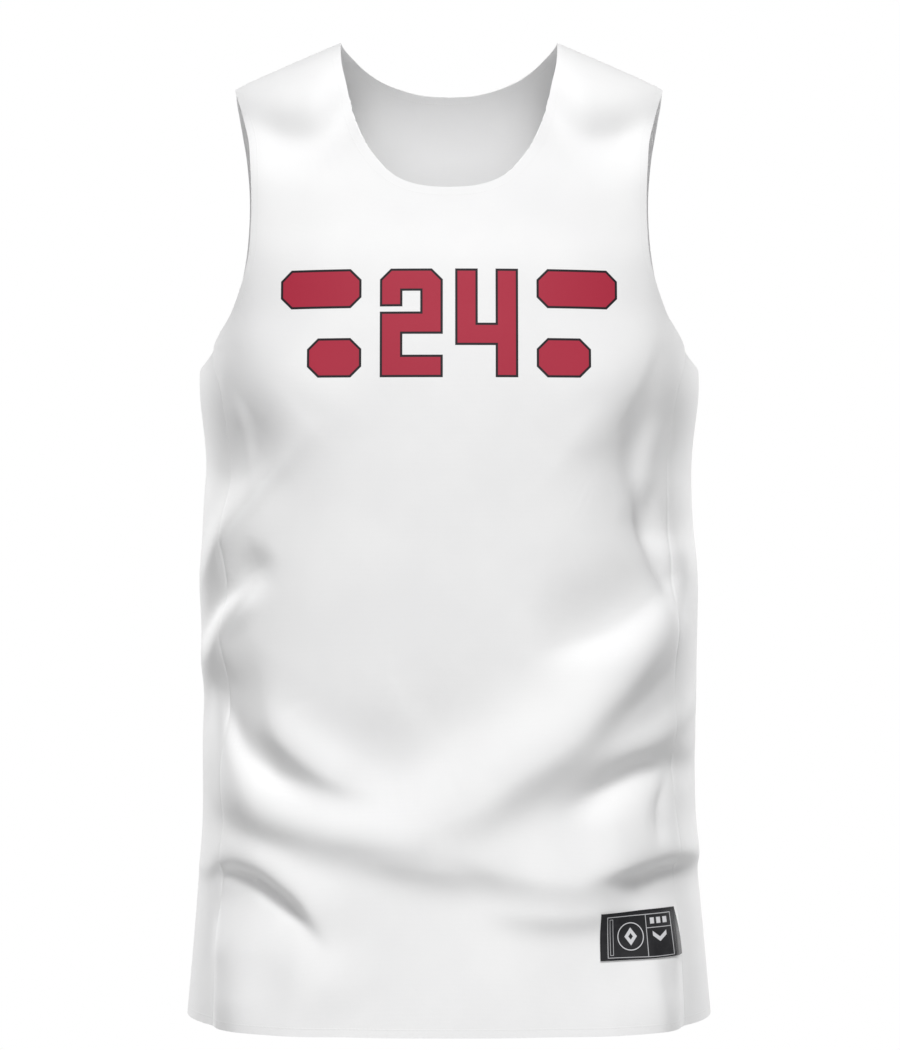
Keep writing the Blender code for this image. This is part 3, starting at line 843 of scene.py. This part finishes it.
plainKnit = knitMaterial("plainKnit")
printedKnit = knitMaterial("printedKnit", chestDesign)
front = clothOf("frontCloth", bodyPlaces(False), printedKnit, bodySeams, bodyEdges, "front_panel")
print("front made")
back = clothOf("backCloth", bodyPlaces(True), plainKnit, bodySeams, bodyEdges, "back_panel")
print("back made")
sides = [
    clothOf(
        name, sidePlaces(onRight), plainKnit, [(whole, 0), (whole, -1)], [(0, whole), (-1, whole)],
        replaced,
    )
    for name, onRight, replaced in (
        ("sideClothLeft", False, "side_panel_left"),
        ("sideClothRight", True, "side_panel_right"),
    )
]
print("sides made")


# In millimetres. Marks are placed from the label's lower left corner, and boxes have a left, a
# right, a bottom and a top. A soft edge is given as where it starts and where it ends
label = {
    "left": 110.0,
    "right": (167.0, 170.6),  # at the top and at the bottom
    "heights": (-673.3, -638.8),  # of the bottom and of the top
    "size": (59.0, 34.5),
    "wall": 0.8,
    "clear": 0.3,
    "cells": (58, 36),
    "constants": {"Sheen Weight": 0.05, "Specular IOR Level": 0.35},
    "black": (0.011, 0.011, 0.013, 1),
    "faded": (0.030, 0.030, 0.034, 1),
    "thread": (0.62, 0.62, 0.64, 1),
    "fadeScale": 160.0,
    "fadeDetail": 3.0,
    "fadeShades": (0.45, 0.8),
    "fadeShare": 0.6,
    "roughness": 0.52,
    "fadeRoughness": 0.16,
    "markRoughness": 0.06,
    "markHeight": 0.05,
    "edge": 0.1,
    "soft": 0.16,
    "frame": (6.4, 55.5, 2.6, 31.9),
    "divider": 36.0,
    "frameLine": 0.36,
    "shelf": 22.6,
    "shelfLine": 0.34,
    "framePale": 0.8,
    "strip": (8.2, 10.4, 4.4, 30.1),
    "stripLine": 0.26,
    "stripPale": 0.7,
    "ringAt": (23.6, 17.3),
    "ringRadius": 9.6,
    "ringLine": 0.5,
    "diamondEnd": (4.6, 4.9),
    "diamondHole": (1.6, 1.9),
    "diamondSlope": 0.75,
    "barsAt": 45.9,
    "bars": [(-1.6, 1.6, 25.2, 29.4), (3.4, 6.6, 25.2, 29.4)],
    "chevronAt": 14.4,
    "chevronSlope": 0.8,
    "chevronHalf": (1.5, 1.7),
    "chevronReach": (5.2, 5.4),
    "satinRun": (0.9, 0.45),
    "satinPitch": 0.42,
    "satinHeight": 0.015,
    "pickPitch": 0.30,
    "pickHeight": 0.012,
    "stitchesAt": 1.5,
    "stitchPitch": 1.9,
    "stitchWidths": (0.15, 0.5),
    "stitchGaps": (-0.5, 0.2),
    "stitchHeight": 0.16,
    "sunkWidths": (0.5, 1.6),
    "sunkDepth": 0.14,
}


def labelPlaces():
    columns, lines = label["cells"]
    up = np.linspace(0, 1, lines + 1)[:, None]
    across = np.linspace(0, 1, columns + 1)
    heights = label["heights"][0] + up * (label["heights"][1] - label["heights"][0])
    right = label["right"][1] + up * (label["right"][0] - label["right"][1])
    x = label["left"] + across * (right - label["left"])
    rows = np.interp(heights, sections[:, 0], np.arange(len(sections)))
    rows = np.broadcast_to(rows, x.shape)
    return np.stack([edgeAngle(x, sectionsAt(rows)[..., 1]), rows], axis=-1)


def labelMarks(start, u, v):
    # A divided frame, and in it a ring around an open diamond, three short bars and a chevron
    def line(distance, width):
        return abs(distance).falls(width / 2, width / 2 + label["soft"])

    edge = label["edge"]
    fromFrame, fromDivider = slab(u, v, *label["frame"]), u - label["divider"]
    inFrame = fromFrame.falls(-edge, edge)
    onRight = fromDivider.rises(-edge, edge) * inFrame
    lines = line(fromFrame, label["frameLine"])
    lines = lines.most(line(fromDivider, label["frameLine"]) * inFrame)
    lines = lines.most(line(v - label["shelf"], label["shelfLine"]) * onRight)
    strip = line(slab(u, v, *label["strip"]), label["stripLine"])
    marks = (lines * label["framePale"]).most(strip * label["stripPale"])
    x, z = u - label["ringAt"][0], v - label["ringAt"][1]
    fromRing = start.maths("SQRT", x * x + z * z) - label["ringRadius"]
    marks = marks.most(line(fromRing, label["ringLine"]))
    diamond = abs(x) + abs(z) * label["diamondSlope"]
    marks = marks.most(diamond.falls(*label["diamondEnd"]) * diamond.rises(*label["diamondHole"]))
    aside = abs(u - label["barsAt"])
    marks = marks.most(slabs(aside, v, label["bars"]).falls(-edge, edge))
    chevron = abs(v - label["chevronAt"] - aside * label["chevronSlope"])
    near = aside.falls(*label["chevronReach"])
    return marks.most(chevron.falls(*label["chevronHalf"]) * near)


def labelMaterial():
    made, start, shader = newMaterial("wovenLabel", label["constants"])
    where = placeOf(start)
    wide, high = label["size"]
    across, up = flatPlaceOf(start, "label")
    u, v = across * wide, up * high
    marks = labelMarks(start, u, v)
    run, climb = label["satinRun"]
    satin = ((u * run + v * climb) * (wholeTurn / label["satinPitch"])).sine()
    pick = (v * (wholeTurn / label["pickPitch"])).sine()
    fade = noise(start, where, label["fadeScale"], label["fadeDetail"])
    ground = fade.rises(*label["fadeShades"]) * label["fadeShare"]
    colour = marks.mixed(ground.mixed(label["black"], label["faded"]), label["thread"])
    rough = label["roughness"] + fade * label["fadeRoughness"] + marks * label["markRoughness"]
    rim = abs(slab(u, v, 0.0, wide, 0.0, high) + label["stitchesAt"])
    along = ((u + v) / label["stitchPitch"] * wholeTurn).sine()
    stitches = rim.falls(*label["stitchWidths"]) * along.rises(*label["stitchGaps"])
    height = marks * label["markHeight"] + satin * label["satinHeight"]
    height = height + pick * label["pickHeight"] + stitches * label["stitchHeight"]
    height = height - rim.falls(*label["sunkWidths"]) * label["sunkDepth"]
    start.feed(shader.inputs["Base Color"], colour)
    start.feed(shader.inputs["Roughness"], rough)
    start.feed(shader.inputs["Normal"], bumped(start, height))
    return made


def addLabel():
    places = labelPlaces()
    lift = body["wall"] / 2 + label["clear"] + label["wall"] / 2
    mesh = sheetMesh("hemLabel", places, label["wall"], lift=lift)
    layer = mesh.uv_layers.new(name="label")
    low, high = (height / metre for height in label["heights"])
    left = label["left"] / metre
    right = [x / metre for x in label["right"]]
    for loop in mesh.loops:
        point = mesh.vertices[loop.vertex_index].co
        up = (point.z - low) / (high - low)
        across = (point.x - left) / (right[1] + up * (right[0] - right[1]) - left)
        layer.data[loop.index].uv = across, up
    return addPiece("hemLabel", mesh, labelMaterial(), "hem_label")


labelPiece = addLabel()
print("label made")


# Everything below is the studio
studio = {
    "floorHeight": -1.30,
    "floorRadius": 1.1,
    "floorSides": 96,
    "floor": (0.75, 0.75, 0.75, 1),
    "floorShade": (0.72, 0.72, 0.72, 1),
    "floorScale": 3.0,
    "floorRoughness": 0.85,
    "white": (1, 1, 1, 1),
    "ambient": 0.11,
    "distance": 2.1,
    "aim": -0.3536,
    "frameLines": 1050,
    "linesPerMetre": 1293,
    "shiftLines": 1,
    "sensor": 36,
}


def addFloor():
    mesh = bmesh.new()
    bmesh.ops.create_circle(
        mesh, cap_ends=True, segments=studio["floorSides"], radius=studio["floorRadius"]
    )
    bmesh.ops.translate(mesh, verts=mesh.verts, vec=(0, 0, studio["floorHeight"]))
    made = bpy.data.meshes.new("floor")
    mesh.to_mesh(made)
    mesh.free()
    constants = {"Roughness": studio["floorRoughness"]}
    paint, start, shader = newMaterial("floorPaint", constants)
    tone = noise(start, placeOf(start), studio["floorScale"])
    colour = tone.mixed(studio["floorShade"], studio["floor"])
    start.feed(shader.inputs["Base Color"], colour)
    made.materials.append(paint)
    floor = bpy.data.objects.new("floor", made)
    bpy.context.collection.objects.link(floor)


# Degrees around from the front, degrees up, metres away, metres across and down, watts
lamps = {
    "key": {"around": 0, "up": 53, "away": 5.0, "size": (1.5, 1.5), "power": 205.0},
    "fill": {"around": 0, "up": 0, "away": 4.0, "size": (1.4, 1.4), "power": 50.0},
    "rimLeft": {"around": 133, "up": 5, "away": 2.4, "size": (0.8, 1.6), "power": 43.0},
    "rimRight": {"around": -133, "up": 5, "away": 2.4, "size": (0.8, 1.6), "power": 43.0},
}


def addLamp(name, lamp):
    made = bpy.data.lights.new(name, "AREA")
    made.shape = "RECTANGLE"
    made.size, made.size_y = lamp["size"]
    made.energy = lamp["power"]
    placed = bpy.data.objects.new(name, made)
    bpy.context.collection.objects.link(placed)
    around, up = math.radians(lamp["around"]), math.radians(lamp["up"])
    towards = Vector(
        (math.sin(around) * math.cos(up), -math.cos(around) * math.cos(up), math.sin(up))
    )
    placed.location = Vector((0, 0, studio["aim"])) + towards * lamp["away"]
    placed.rotation_euler = (-towards).to_track_quat("-Z", "Y").to_euler()


def addWorld():
    # White where the camera sees it, dim where it lights the cloth
    world = bpy.data.worlds.new("studio")
    bpy.context.scene.world = world
    world.use_nodes = True
    start = Wire(world.node_tree)
    seen = start.add("ShaderNodeLightPath")
    strength = studio["ambient"] + seen * (1.0 - studio["ambient"])
    sky = world.node_tree.nodes["Background"]
    sky.inputs["Color"].default_value = studio["white"]
    start.feed(sky.inputs["Strength"], strength)


addFloor()
for name, lamp in lamps.items():
    addLamp(name, lamp)
addWorld()
bpy.context.scene.view_settings.view_transform = "Standard"

camera = bpy.data.cameras.new("frontView")
camera.sensor_fit = "VERTICAL"
camera.sensor_height = studio["sensor"]
frameHeight = studio["frameLines"] / studio["linesPerMetre"]
camera.lens = studio["sensor"] * studio["distance"] / frameHeight
camera.shift_x = studio["shiftLines"] / studio["frameLines"]
cameraPlace = bpy.data.objects.new("frontView", camera)
bpy.context.collection.objects.link(cameraPlace)
cameraPlace.location = (0, -studio["distance"], studio["aim"])
cameraPlace.rotation_euler = (math.pi / 2, 0, 0)
bpy.context.scene.camera = cameraPlace
print("studio made")
